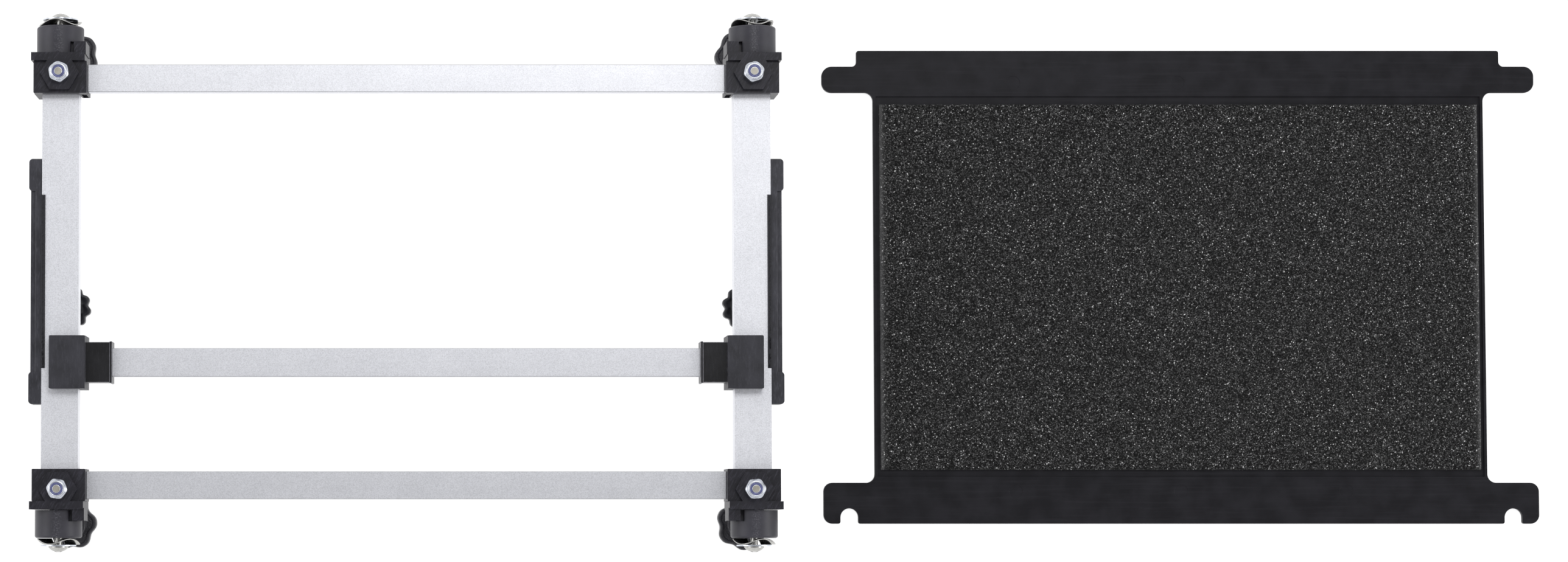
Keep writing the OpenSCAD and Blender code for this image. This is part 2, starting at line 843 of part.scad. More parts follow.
module foam_pad() {
    color("#3a3a3c")
        translate([board_x - middle_x - foam_w / 2, board_rear - foam_rear - foam_depth, board_t - recess_t])
            cube([foam_w, foam_depth, foam_t]);
}

// ---- the whole object ----

at_side(-1) side_rail();  // side_rail_left
at_side(1) side_rail();  // side_rail_right
end_tube();  // end_tube_rear
mirror([0, 1, 0]) end_tube();  // end_tube_front
at_corner(-1, 1) corner_block();  // corner_block_rear_left
at_corner(1, 1) corner_block();  // corner_block_rear_right
at_corner(-1, -1) corner_block();  // corner_block_front_left
at_corner(1, -1) corner_block();  // corner_block_front_right
color("silver") at_all_corners() corner_bolt();  // corner_bolts
color("silver") at_all_corners() corner_washer();  // corner_washers
color("silver") at_all_corners() corner_nut();  // corner_nuts
color("slateblue") at_all_corners() nut_lock_ring();  // nut_lock_rings
at_side(-1) side_grip();  // side_grip_left
at_side(1) side_grip();  // side_grip_right
at_side(-1) grip_strip();  // grip_strip_left
at_side(1) grip_strip();  // grip_strip_right
grip_screws();
color("gainsboro") at_all_corners() pivot_screw();  // pivot_screws
wave_washers();
color("silver") at_all_corners() flat_washer();  // flat_washers
at_corner(-1, 1) leg_hub();  // leg_hub_rear_left
at_corner(1, 1) leg_hub();  // leg_hub_rear_right
at_corner(-1, -1) leg_hub();  // leg_hub_front_left
at_corner(1, -1) leg_hub();  // leg_hub_front_right
at_corner(-1, 1) leg_tube();  // leg_tube_rear_left
at_corner(1, 1) leg_tube();  // leg_tube_rear_right
at_corner(-1, -1) leg_tube();  // leg_tube_front_left
at_corner(1, -1) leg_tube();  // leg_tube_front_right
at_corner(-1, 1) leg_insert();  // leg_insert_rear_left
at_corner(1, 1) leg_insert();  // leg_insert_rear_right
at_corner(-1, -1) leg_insert();  // leg_insert_front_left
at_corner(1, -1) leg_insert();  // leg_insert_front_right
at_corner(-1, 1) star_knob(0, 0);  // star_knob_rear_left
at_corner(1, 1) star_knob(0, 1);  // star_knob_rear_right
at_corner(-1, -1) star_knob(1, 0);  // star_knob_front_left
at_corner(1, -1) star_knob(1, 1);  // star_knob_front_right
at_corner(-1, 1) foot_stud();  // foot_stud_rear_left
at_corner(1, 1) foot_stud();  // foot_stud_rear_right
at_corner(-1, -1) foot_stud();  // foot_stud_front_left
at_corner(1, -1) foot_stud();  // foot_stud_front_right
at_corner(-1, 1) foot_pad();  // foot_pad_rear_left
at_corner(1, 1) foot_pad();  // foot_pad_rear_right
at_corner(-1, -1) foot_pad();  // foot_pad_front_left
at_corner(1, -1) foot_pad();  // foot_pad_front_right
crossbar_tube();
at_side(-1) slider();  // slider_left
at_side(1) slider();  // slider_right
at_side(-1) tube_sleeve();  // tube_sleeve_left
at_side(1) tube_sleeve();  // tube_sleeve_right
at_side(-1) glide_liner();  // glide_liner_left
at_side(1) glide_liner();  // glide_liner_right
color("silver") {  // sleeve_screws
    at_side(-1) sleeve_screw();
    at_side(1) sleeve_screw();
}
at_side(-1) clamp_knob(clamp_turn[0]);  // clamp_knob_left
at_side(1) clamp_knob(clamp_turn[1]);  // clamp_knob_right
at_side(-1) clamp_stud();  // clamp_stud_left
at_side(1) clamp_stud();  // clamp_stud_right
board_plate();
foam_pad();
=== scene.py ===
"""Looks for an adjustable frame on folding legs and the loose foam-faced board beside it.

The CAD nodes keep their shapes and get rounded edges and materials. The soft foam, the knobs and
the lock nuts are finer pieces that stand for their CAD nodes.
"""
import math

import bpy
import numpy as np
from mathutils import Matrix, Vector, noise


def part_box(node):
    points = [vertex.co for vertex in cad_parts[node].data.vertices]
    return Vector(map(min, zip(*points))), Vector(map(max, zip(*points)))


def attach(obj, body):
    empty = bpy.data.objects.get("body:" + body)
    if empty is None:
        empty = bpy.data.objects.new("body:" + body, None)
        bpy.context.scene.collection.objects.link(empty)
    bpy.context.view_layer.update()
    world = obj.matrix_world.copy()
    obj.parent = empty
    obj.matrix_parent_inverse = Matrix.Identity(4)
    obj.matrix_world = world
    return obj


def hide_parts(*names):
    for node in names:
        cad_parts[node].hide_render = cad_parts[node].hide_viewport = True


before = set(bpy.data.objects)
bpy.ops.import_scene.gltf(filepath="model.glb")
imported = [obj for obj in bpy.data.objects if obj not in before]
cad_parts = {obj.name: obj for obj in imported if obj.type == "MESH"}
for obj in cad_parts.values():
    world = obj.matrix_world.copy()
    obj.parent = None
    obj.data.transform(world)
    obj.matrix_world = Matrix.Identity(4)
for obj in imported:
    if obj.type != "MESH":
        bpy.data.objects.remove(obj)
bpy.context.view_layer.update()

MM = 0.001
WASHER_RADIUS = 14.5    # of the wave spring washers, in millimetres
NUT_FLATS = 13.0        # across a lock nut's flats, in millimetres
CORNERS = {"rear_left": (-1, 1), "rear_right": (1, 1), "front_left": (-1, -1), "front_right": (1, -1)}
SIDES = ("left", "right")
# Degrees that the knobs and wave washers stand turned at rest, the same as in the CAD
STAR_TURN = {"rear_left": 35, "rear_right": 3, "front_left": 5, "front_right": 36}
CLAMP_TURN = {"left": 25, "right": 21}
WAVE_TURN = {"rear_left": 200, "rear_right": 20, "front_left": 70, "front_right": 130}
# Degrees that each lock nut stands turned. The CAD has all four alike.
NUT_TURN = {"rear_left": 8, "rear_right": 47, "front_left": 22, "front_right": 33}


# ---- places, read from the frame ----

def middle(node):
    low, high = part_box(node)
    return (low + high) / 2


frame_x = (middle("side_rail_left").x + middle("side_rail_right").x) / 2
frame_y = (middle("end_tube_rear").y + middle("end_tube_front").y) / 2


# ---- materials ----

def fill_ramp(ramp, stops):
    """Sets a colour ramp's stops, each (position, colour or grey)."""
    while len(ramp.elements) < len(stops):
        ramp.elements.new(0.5)
    for element, (position, colour) in zip(ramp.elements, stops):
        element.position = position
        grey = not hasattr(colour, "__len__")
        element.color = (colour,) * 3 + (1,) if grey else tuple(colour) + (1,)


class Nodes:
    """A material's node tree, with short ways to add and link its nodes."""

    def __init__(self, name, metallic=0.0, roughness=0.5):
        self.material = bpy.data.materials.new(name)
        self.material.use_nodes = True
        self.tree = self.material.node_tree
        self.shader = self.tree.nodes["Principled BSDF"]
        self.shader.inputs["Metallic"].default_value = metallic
        self.shader.inputs["Roughness"].default_value = roughness
        self.place = self.add("ShaderNodeTexCoord").outputs["Object"]

    def add(self, kind, inputs=None, **settings):
        made = self.tree.nodes.new(kind)
        for key, value in settings.items():
            setattr(made, key, value)
        for key, value in (inputs or {}).items():
            if isinstance(value, bpy.types.NodeSocket):
                self.tree.links.new(value, made.inputs[key])
            else:
                made.inputs[key].default_value = value
        return made

    def stretched(self, scale, turn=0):
        """Coordinates whose unit is 1 / scale metres on each axis, turned about Z by turn degrees."""
        return self.add("ShaderNodeMapping", {"Vector": self.place, "Scale": [1 / s for s in scale],
                                              "Rotation": (0, 0, math.radians(turn))},
                        vector_type="TEXTURE").outputs[0]

    def noise(self, scale, detail=3.0, rough=0.5, where=None):
        return self.add("ShaderNodeTexNoise", {"Vector": where or self.place, "Scale": scale,
                                               "Detail": detail, "Roughness": rough}).outputs["Fac"]

    def cells(self, scale):
        """Cells about 1 / scale metres wide: their Distance and Color outputs."""
        return self.add("ShaderNodeTexVoronoi", {"Vector": self.place, "Scale": scale,
                                                 "Randomness": 1.0}).outputs

    def ramp(self, value, stops):
        """A colour ramp; stops are (position, colour or grey)."""
        made = self.add("ShaderNodeValToRGB", {"Fac": value})
        fill_ramp(made.color_ramp, stops)
        return made.outputs["Color"]

    def mix(self, first, second, share=0.5, kind="MIX"):
        made = self.add("ShaderNodeMix", data_type="RGBA", blend_type=kind)
        for index, value in ((0, share), (6, first), (7, second)):
            if isinstance(value, bpy.types.NodeSocket):
                self.tree.links.new(value, made.inputs[index])
            else:
                made.inputs[index].default_value = value if index == 0 else tuple(value) + (1,)
        return made.outputs[2]

    def math(self, kind, first, second):
        return self.add("ShaderNodeMath", {0: first, 1: second}, operation=kind).outputs[0]

    def colour(self, value):
        self.tree.links.new(value, self.shader.inputs["Base Color"])

    def rough(self, value, low, high):
        made = self.add("ShaderNodeMapRange", {"Value": value, "To Min": low, "To Max": high})
        self.tree.links.new(made.outputs[0], self.shader.inputs["Roughness"])

    def bump(self, *heights):
        """Bumps, each (height, depth in millimetres), laid one over the other."""
        normal = None
        for height, depth in heights:
            made = self.add("ShaderNodeBump", {"Height": height, "Distance": depth * MM, "Strength": 1.0})
            if normal is not None:
                self.tree.links.new(normal, made.inputs["Normal"])
            normal = made.outputs["Normal"]
        self.tree.links.new(normal, self.shader.inputs["Normal"])


def aluminium(name, along, base):
    """Mill-finish tube: fine even speckle, faint drawn lines along the tube and soft blotches."""
    n = Nodes(name, metallic=0.85)
    drawn = [1300, 1300, 1300]
    drawn["xyz".index(along)] = 25
    lines = n.noise(1.0, detail=3, rough=0.5, where=n.stretched(drawn))
    speckle = n.noise(1700, detail=2, rough=0.7)
    blotch = n.noise(45, detail=3)
    shade = n.mix(n.ramp(lines, [(0.3, base * 0.95), (0.7, base * 1.03)]),
                  n.ramp(speckle, [(0.36, base * 0.76), (0.5, base), (0.66, base * 1.16)]), 0.62)
    tint = n.ramp(blotch, [(0.3, (0.925, 0.935, 0.98)), (0.7, (0.965, 0.975, 1.02))])
    n.colour(n.mix(shade, tint, 1.0, "MULTIPLY"))
    n.rough(speckle, 0.40, 0.54)
    n.bump((lines, 0.012), (speckle, 0.02))
    return n.material


def plastic(name, base, roughness, texture=900, depth=0.03, wear=0.25, streak=(900, 160, 500), turn=0,
            specular=0.3):
    """Moulded plastic: a fine texture, a cloudy shade and faint streaks that catch the light."""
    n = Nodes(name)
    n.shader.inputs["Specular IOR Level"].default_value = specular
    texture_height = n.noise(texture, detail=2)
    cloud = n.noise(70, detail=3)
    scuff = n.noise(1.0, detail=5, rough=0.7, where=n.stretched(streak, turn))
    dust = n.noise(1300, detail=3, rough=0.75)
    dark, light = [c * 0.8 for c in base], [c * 1.25 for c in base]
    worn = [c * (1.3 + 3 * wear) + 0.006 for c in base]
    shade = n.mix(n.ramp(cloud, [(0.35, dark), (0.65, light)]), worn,
                  n.ramp(scuff, [(0.5, 0.0), (0.75, 0.3 + wear)]))
    specks = n.ramp(dust, [(0.66, (0.0, 0.0, 0.0)), (0.78, [0.10 * wear] * 3)])
    n.colour(n.mix(shade, specks, 1.0, "ADD"))
    n.rough(cloud, roughness - 0.06, roughness + 0.06)
    n.bump((texture_height, depth), (scuff, depth * 0.4))
    return n.material


def dusty_barrel(name, base):
    """The hubs' smooth plastic, with a line of dust along the top of each pivot barrel."""
    n = Nodes(name, roughness=0.42)
    n.shader.inputs["Specular IOR Level"].default_value = 0.35
    cloud = n.noise(60, detail=3)
    grain = n.noise(1500, detail=2)
    dust = n.ramp(n.noise(1000, detail=4, rough=0.8), [(0.50, 0.0), (0.66, 1.0)])
    pivot_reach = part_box("wave_washers")[1].x - WASHER_RADIUS * MM - frame_x
    across = n.add("ShaderNodeSeparateXYZ", {"Vector": n.place}).outputs[0]
    from_middle = n.math("ABSOLUTE", n.math("SUBTRACT", across, frame_x), 0.0)
    from_pivot = n.math("ABSOLUTE", n.math("SUBTRACT", from_middle, pivot_reach), 0.0)
    streak = n.add("ShaderNodeMapRange", {"Value": from_pivot, "From Max": 4 * MM,
                                          "To Min": 0.8, "To Max": 0.0})
    shade = n.ramp(cloud, [(0.35, [c * 0.85 for c in base]), (0.65, [c * 1.2 for c in base])])
    n.colour(n.mix(shade, (0.16, 0.16, 0.18), n.math("MULTIPLY", dust, streak.outputs[0])))
    n.bump((grain, 0.015))
    return n.material


def pebbled(name, base, roughness):
    """Coarse leather-like grain, as on the faces of the knobs."""
    n = Nodes(name)
    n.shader.inputs["Specular IOR Level"].default_value = 0.5
    grain = n.cells(1300)["Distance"]
    cloud = n.noise(90)
    n.colour(n.mix(n.ramp(grain, [(0.1, [c * 2.0 for c in base]), (0.6, [c * 0.5 for c in base])]),
                   n.ramp(cloud, [(0.3, [c * 0.8 for c in base]), (0.7, [c * 1.2 for c in base])])))
    n.rough(grain, roughness - 0.1, roughness + 0.1)
    n.bump((grain, 0.12))
    return n.material


def steel(name, base, roughness, brushed=1200):
    """Plated steel, slightly cloudy, with fine marks."""
    n = Nodes(name, metallic=1.0)
    cloud = n.noise(260, detail=3)
    marks = n.noise(1.0, detail=3, where=n.stretched((brushed, brushed * 0.15, brushed)))
    n.colour(n.mix(n.ramp(cloud, [(0.3, [c * 0.85 for c in base]), (0.7, [min(1, c * 1.08) for c in base])]),
                   n.ramp(marks, [(0.3, 0.82), (0.7, 1.0)]), 0.6, "MULTIPLY"))
    n.rough(marks, roughness - 0.06, roughness + 0.08)
    n.bump((marks, 0.008))
    return n.material


def nylon(name, base):
    n = Nodes(name, roughness=0.35)
    cloud = n.noise(500)
    n.colour(n.ramp(cloud, [(0.3, [c * 0.7 for c in base]), (0.7, [c * 1.3 for c in base])]))
    n.bump((cloud, 0.02))
    return n.material


def rubber(name, base):
    n = Nodes(name)
    grit = n.noise(1500, detail=2)
    n.colour(n.ramp(grit, [(0.3, [c * 0.7 for c in base]), (0.75, [c * 1.6 for c in base])]))
    n.rough(grit, 0.75, 0.9)
    n.bump((grit, 0.05))
    return n.material


def open_cell_foam(name, node):
    """Black open-cell foam: dark pores, lit strands, sparse bright dots and a painted highlight along its
    left and right edges.
    """
    low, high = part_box(node)
    n = Nodes(name, roughness=0.95)
    shade = n.add("ShaderNodeSeparateColor", {"Color": n.cells(1800)["Color"]}).outputs[0]
    strands = n.ramp(shade, [(0.0, 0.002), (0.45, 0.008), (0.75, 0.034),
                             (0.90, 0.09), (0.98, 0.17), (1.0, 0.85)])
    fine = n.noise(1900, detail=2, rough=0.7)
    body = n.mix(strands, n.ramp(fine, [(0.38, 0.3), (0.62, 1.5)]), 0.8, "MULTIPLY")
    # A painted highlight: lighter within 6 mm of the left and right edges.
    across = n.add("ShaderNodeSeparateXYZ", {"Vector": n.place}).outputs[0]
    off_middle = n.math("ABSOLUTE", n.math("SUBTRACT", across, (low.x + high.x) / 2), 0.0)
    half = (high.x - low.x) / 2
    edge = n.add("ShaderNodeMapRange", {"Value": off_middle, "From Min": half - 6 * MM, "From Max": half})
    edge_highlight_paint = n.ramp(edge.outputs[0], [(0.0, 0.0), (0.5, 0.012), (1.0, 0.075)])
    n.colour(n.mix(body, edge_highlight_paint, 1.0, "ADD"))
    n.shader.inputs["Specular IOR Level"].default_value = 0.15
    n.shader.inputs["Sheen Weight"].default_value = 0.05
    n.bump((shade, 0.25), (fine, 0.12))
    return n.material


BLACK = (0.0125, 0.0120, 0.0165)
GREY = (0.040, 0.040, 0.044)
MATERIALS = {
    "rail_aluminium": aluminium("rail_aluminium", "y", 0.82),
    "tube_aluminium": aluminium("tube_aluminium", "x", 0.82),
    # Darker copies of the tube aluminium for the front tube and the crossbar: painted shade, darker towards
    # the front.
    "front_aluminium_painted_shade": aluminium("front_aluminium_painted_shade", "x", 0.70),
    "bar_aluminium_painted_shade": aluminium("bar_aluminium_painted_shade", "x", 0.76),
    "leg_aluminium": aluminium("leg_aluminium", "z", 0.74),
    "block_plastic": plastic("block_plastic", BLACK, 0.42, wear=0.7, streak=(1200, 150, 400), turn=-30),
    "hub_plastic": dusty_barrel("hub_plastic", (0.036, 0.035, 0.044)),
    "grip_plastic": plastic("grip_plastic", (0.032, 0.032, 0.039), 0.40, wear=0.4),
    "slider_plastic": plastic("slider_plastic", (0.026, 0.026, 0.032), 0.5, texture=700, depth=0.06),
    "sleeve_plastic": plastic("sleeve_plastic", (0.009, 0.009, 0.0105), 0.36),
    "insert_plastic": plastic("insert_plastic", GREY, 0.5),
    "liner_plastic": plastic("liner_plastic", (0.6, 0.58, 0.52), 0.35, wear=0.02),
    "board_plastic": plastic("board_plastic", (0.0115, 0.0112, 0.0138), 0.42, texture=500, depth=0.02,
                             wear=0.12, streak=(14, 420, 300), specular=0.15),
    "knob_plastic": pebbled("knob_plastic", (0.024, 0.0235, 0.029), 0.45),
    "knob_rim": plastic("knob_rim", (0.022, 0.022, 0.026), 0.35),
    # A lighter plastic for rounded edges: a painted highlight along them.
    "edge_painted_highlight": plastic("edge_painted_highlight", (0.16, 0.16, 0.18), 0.35, wear=0.6),
    # A darker aluminium for the tubes' rounded edges: painted shade along them.
    "tube_edge_painted_shade": aluminium("tube_edge_painted_shade", "z", 0.45),
    "zinc_steel": steel("zinc_steel", (0.74, 0.77, 0.83), 0.27),
    "nickel_steel": steel("nickel_steel", (0.50, 0.495, 0.475), 0.27),
    "bolt_tip": steel("bolt_tip", (0.46, 0.44, 0.385), 0.48, brushed=3000),
    "lock_ring": nylon("lock_ring", (0.11, 0.12, 0.26)),
    "pad_rubber": rubber("pad_rubber", (0.014, 0.014, 0.014)),
    "strip_foam": rubber("strip_foam", (0.016, 0.016, 0.020)),
    "foam": open_cell_foam("foam", "foam_pad"),
}


# ---- CAD nodes that stay: rounded edges and a material ----

WELD_WITHIN = 0.004     # millimetres
FLAT_WITHIN = 0.5       # degrees between faces that become one
SHARP_FROM = 30         # degrees from which an edge is rounded


def dress(node, material, edge, edge_material=None):
    """Gives a CAD node its material, smooth round faces and edges rounded to edge millimetres.
    The rounded edges can have a material of their own, which paints a highlight or a shade along them."""
    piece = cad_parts[node]
    piece.data.materials.clear()
    piece.data.materials.append(MATERIALS[material])
    if edge_material:
        piece.data.materials.append(MATERIALS[edge_material])
    for name in ("custom_normal", "sharp_edge"):
        if name in piece.data.attributes:
            piece.data.attributes.remove(piece.data.attributes[name])
    piece.data.polygons.foreach_set("use_smooth", [True] * len(piece.data.polygons))
    weld = piece.modifiers.new("weld", "WELD")
    weld.merge_threshold = WELD_WITHIN * MM
    flat = piece.modifiers.new("flat", "DECIMATE")
    flat.decimate_type = "DISSOLVE"
    flat.angle_limit = math.radians(FLAT_WITHIN)
    bevel = piece.modifiers.new("edges", "BEVEL")
    bevel.width = edge * MM
    bevel.segments = 2
    bevel.limit_method = "ANGLE"
    bevel.angle_limit = math.radians(SHARP_FROM)
    bevel.harden_normals = False
    bevel.material = 1 if edge_material else -1
    shade = piece.modifiers.new("shade", "WEIGHTED_NORMAL")
    shade.keep_sharp = True
    shade.weight = 80


def dress_all():
    for side in SIDES:
        # The rails' rounded edges get painted shade.
        dress("side_rail_" + side, "rail_aluminium", 0.5, edge_material="tube_edge_painted_shade")
        # The grip's, slider's and sleeve's rounded edges get a painted highlight.
        dress("side_grip_" + side, "grip_plastic", 0.25, edge_material="edge_painted_highlight")
        dress("slider_" + side, "slider_plastic", 0.25, edge_material="edge_painted_highlight")
        dress("tube_sleeve_" + side, "sleeve_plastic", 0.25, edge_material="edge_painted_highlight")
        dress("glide_liner_" + side, "liner_plastic", 0.1)
        dress("clamp_stud_" + side, "zinc_steel", 0.2)
    for corner in CORNERS:
        # The corner blocks' rounded edges get a painted highlight.
        dress("corner_block_" + corner, "block_plastic", 0.3, edge_material="edge_painted_highlight")
        dress("leg_hub_" + corner, "hub_plastic", 0.3)
        dress("leg_tube_" + corner, "leg_aluminium", 0.2)
        dress("leg_insert_" + corner, "insert_plastic", 0.2)
        dress("foot_stud_" + corner, "zinc_steel", 0.2)
        dress("foot_pad_" + corner, "pad_rubber", 0.5)
    # The end tubes' and the crossbar's rounded edges get painted shade.
    dress("end_tube_rear", "tube_aluminium", 0.4, edge_material="tube_edge_painted_shade")
    # The front tube and the crossbar get the darker copies of the tube aluminium, with painted shade.
    dress("end_tube_front", "front_aluminium_painted_shade", 0.4, edge_material="tube_edge_painted_shade")
    dress("crossbar_tube", "bar_aluminium_painted_shade", 0.4, edge_material="tube_edge_painted_shade")
    dress("board_plate", "board_plastic", 0.3)
    dress("corner_bolts", "bolt_tip", 0.35, edge_material="zinc_steel")
    dress("corner_washers", "zinc_steel", 0.1)
    dress("flat_washers", "zinc_steel", 0.1)
    dress("grip_screws", "zinc_steel", 0.1)
    dress("sleeve_screws", "zinc_steel", 0.1)
    dress("pivot_screws", "nickel_steel", 0.15)


# ---- mesh helpers ----

def make_piece(name, points, faces, material, body, stands_for):
    """A smooth mesh piece that rides on a body and shows in place of CAD nodes."""
    mesh = bpy.data.meshes.new(name)
    mesh.from_pydata([tuple(p) for p in points], [], faces)
    mesh.polygons.foreach_set("use_smooth", [True] * len(mesh.polygons))
    mesh.materials.append(MATERIALS[material])
    piece = bpy.data.objects.new(name, mesh)
    bpy.context.scene.collection.objects.link(piece)
    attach(piece, body)
    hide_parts(*stands_for)
    return piece


def turned(rings, count, radius_at):
    """A closed solid turned about Z. Each ring is (radius, height, wave); radius_at gives the
    radius at an angle. Returns points and faces, in millimetres."""
    angles = 2 * math.pi * np.arange(count) / count
    points, faces = [], []
    for radius, height, wave in rings:
        r = radius_at(radius, wave, angles)
        points += list(zip(r * np.cos(angles), r * np.sin(angles), np.full(count, height)))
    for k in range(len(rings) - 1):
        for i in range(count):
            j = (i + 1) % count
            faces.append((k * count + i, k * count + j, (k + 1) * count + j, (k + 1) * count + i))
    faces.append(tuple(reversed(range(count))))
    faces.append(tuple(range((len(rings) - 1) * count, len(rings) * count)))
    return np.array(points, float), faces


def lobes(number, turn):
    """The radius of a knob with that many broad lobes, the first of them turned by turn degrees."""
    def radius_at(radius, wave, angles):
        swing = np.cos(number * (angles - math.radians(turn)))
        return radius - wave * ((1 - swing) / 2) ** 1.4
    return radius_at


# ---- star knobs and clamp knobs ----

def pebble(points, inner, outer, face_z, size, height):
    """Raises small pebbles on the ring of a face between two radii."""
    for p in points:
        radius = math.hypot(p[0], p[1])
        if abs(p[2] - face_z) < 0.02 and inner < radius < outer:
            cell = noise.voronoi(Vector(p) / size, distance_metric="DISTANCE")[0][0]
            p[2] += height * (1 - min(1, cell * 1.6))
    return points


def star_knob(corner):
    """A six-lobed knob: smooth rim, pebbled face sunk behind it, round boss."""
    low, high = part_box("star_knob_" + corner)
    height = (high.z - low.z) / MM
    outer = 18.1
    boss = 11.0
    wave = 2.4
    disc = height - 5
    face_z = disc - 1.0
    face_outer = outer - 2.9
    rings = [(outer - 6, 0.0, wave * 0.8), (outer - 1.6, 0.0, wave), (outer - 0.6, 0.5, wave),
             (outer, 1.6, wave), (outer, disc - 1.2, wave), (outer - 0.3, disc - 0.4, wave),
             (outer - 0.9, disc, wave), (outer - 1.9, disc, wave), (outer - 2.4, disc - 0.3, wave)]
    face = np.linspace(face_outer, boss + 0.5, 16)
    rings += [(r, face_z, wave * (r - boss) / (face_outer - boss)) for r in face]
    rings += [(boss + 0.1, face_z + 0.3, 0), (boss, face_z + 0.9, 0), (boss, height - 0.7, 0),
              (boss - 0.25, height - 0.2, 0), (boss - 0.8, height, 0), (4.3, height, 0),
              (4.1, height - 0.3, 0), (4.1, height - 2, 0)]
    points, faces = turned(rings, 240, lobes(6, STAR_TURN[corner]))
    points = pebble(points, boss + 0.7, outer - 2.2, face_z, 0.9, 0.28)
    leg = middle("leg_insert_" + corner)
    points = points * MM + np.array([leg.x, leg.y, low.z])
    make_piece("star_knob_detail_" + corner, points, faces, "knob_plastic", "star_foot_" + corner,
               ["star_knob_" + corner])


def clamp_knob(side):
    """A ten-lobed knob with a slim boss, under the rail."""
    low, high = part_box("clamp_knob_" + side)
    height = (high.z - low.z) / MM
    outer = 15.25
    disc = 9.0
    boss = 7.5
    wave = 2.0
    rings = [(outer - 5, 0.0, wave * 0.6), (outer - 1.6, 0.0, wave), (outer - 0.5, 0.5, wave),
             (outer, 1.5, wave), (outer, disc - 1.0, wave), (outer - 0.4, disc - 0.3, wave),
             (outer - 1.1, disc, wave), (outer - 3.0, disc, wave), (outer - 3.6, disc - 0.5, wave * 0.8),
             (boss + 1.5, disc - 0.5, 0), (boss + 0.6, disc, 0), (boss, disc + 1.2, 0),
             (boss, height - 0.6, 0), (boss - 0.6, height, 0), (3.2, height, 0),
             (3.05, height - 0.3, 0), (3.05, height - 1.5, 0)]
    points, faces = turned(rings, 200, lobes(10, CLAMP_TURN[side]))
    place = middle("clamp_stud_" + side)
    points = points * MM + np.array([place.x, place.y, low.z])
    make_piece("clamp_knob_detail_" + side, points, faces, "knob_rim", "clamp_knob_" + side,
               ["clamp_knob_" + side])


# ---- wave spring washers ----

def wave_washers():
    """Spring washers with three waves and rounded rims, each standing turned by its own angle."""
    low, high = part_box("wave_washers")
    outer = WASHER_RADIUS
    inner = 4.5
    bow = 3.5
    thick = 0.7
    steps = 180
    section = [(inner, -thick / 2), (outer - 0.2, -thick / 2), (outer, -thick / 5), (outer, thick / 5),
               (outer - 0.2, thick / 2), (inner, thick / 2)]
    angles = 2 * math.pi * np.arange(steps) / steps
    all_points, all_faces = [], []
    for corner, (side, end) in CORNERS.items():
        wave = bow / 2 * np.cos(3 * (angles - math.radians(WAVE_TURN[corner])))
        points = np.array([(r * math.cos(a) * side, (w + lift) * end, r * math.sin(a))
                           for a, w in zip(angles, wave) for r, lift in section])
        reach = np.array([outer, (bow + thick) / 2, 0]) * MM
        centre = np.array([high.x - reach[0] if side > 0 else low.x + reach[0],
                           high.y - reach[1] if end > 0 else low.y + reach[1], (low.z + high.z) / 2])
        count = len(section)
        for i in range(steps):
            for k in range(count):
                j, m = (i + 1) % steps, (k + 1) % count
                face = (i * count + k, i * count + m, j * count + m, j * count + k)
                face = face if side * end > 0 else face[::-1]
                all_faces.append(tuple(v + len(all_points) for v in face))
        all_points += list(points * MM + centre)
    make_piece("wave_washer_detail", all_points, all_faces, "nickel_steel", "frame",
               ["wave_washers"])


# ---- lock nuts ----

def hexagon_within(radius, wave, angles):
    """A hexagon across flats wave, cut back to a circle of the given radius."""
    turn = (angles + math.pi / 6) % (math.pi / 3) - math.pi / 6
    return np.minimum(wave / 2 / np.cos(turn), radius) if wave else np.full_like(angles, radius)


def bolt_place(corner):
    """The axis of a corner's bolt at the foot of its nut."""
    side, end = CORNERS[corner]
    low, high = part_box("corner_washers")
    rail = middle("side_rail_" + ("right" if side > 0 else "left")).x
    reach = high.x - middle("side_rail_right").x
    return np.array([rail, high.y - reach if end > 0 else low.y + reach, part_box("corner_nuts")[0].z])


def at_bolts(name, rings, material, node):
    """One piece that stands for a node of four round pieces, one at each corner's bolt."""
    all_points, all_faces = [], []
    for corner in CORNERS:
        points, faces = turned(rings, 96, hexagon_within)
        turn = math.radians(NUT_TURN[corner])
        spun = np.column_stack([points[:, 0] * math.cos(turn) - points[:, 1] * math.sin(turn),
                                points[:, 0] * math.sin(turn) + points[:, 1] * math.cos(turn), points[:, 2]])
        all_faces += [tuple(v + len(all_points) for v in f) for f in faces]
        all_points += list(spun * MM + bolt_place(corner))
    make_piece(name, all_points, all_faces, material, "frame", [node])


def lock_nuts():
    """Hexagonal nuts with chamfered corners, a domed collar and the nylon ring inside it."""
    low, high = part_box("corner_nuts")
    height = (high.z - low.z) / MM
    nut_rings = [(4.2, 0, 0), (6.3, 0, NUT_FLATS), (7.0, 0.6, NUT_FLATS), (7.15, 1.0, NUT_FLATS),
                 (7.15, height - 3.4, NUT_FLATS), (6.95, height - 2.8, NUT_FLATS),
                 (6.6, height - 2.35, NUT_FLATS), (6.0, height - 2.1, 0), (5.9, height - 1.9, 0),
                 (5.9, height - 1.1, 0), (5.7, height - 0.5, 0), (5.2, height - 0.12, 0),
                 (4.7, height, 0), (4.35, height - 0.15, 0), (4.3, height - 0.5, 0), (4.3, height - 1.6, 0)]
    ring_rings = [(2.95, height - 1.1, 0), (4.28, height - 1.1, 0), (4.28, height - 0.45, 0),
                  (3.9, height - 0.3, 0), (3.4, height - 0.35, 0), (2.95, height - 0.6, 0)]
    at_bolts("lock_nut_detail", nut_rings, "zinc_steel", "corner_nuts")
    at_bolts("lock_ring_detail", ring_rings, "lock_ring", "nut_lock_rings")


# ---- foam ----

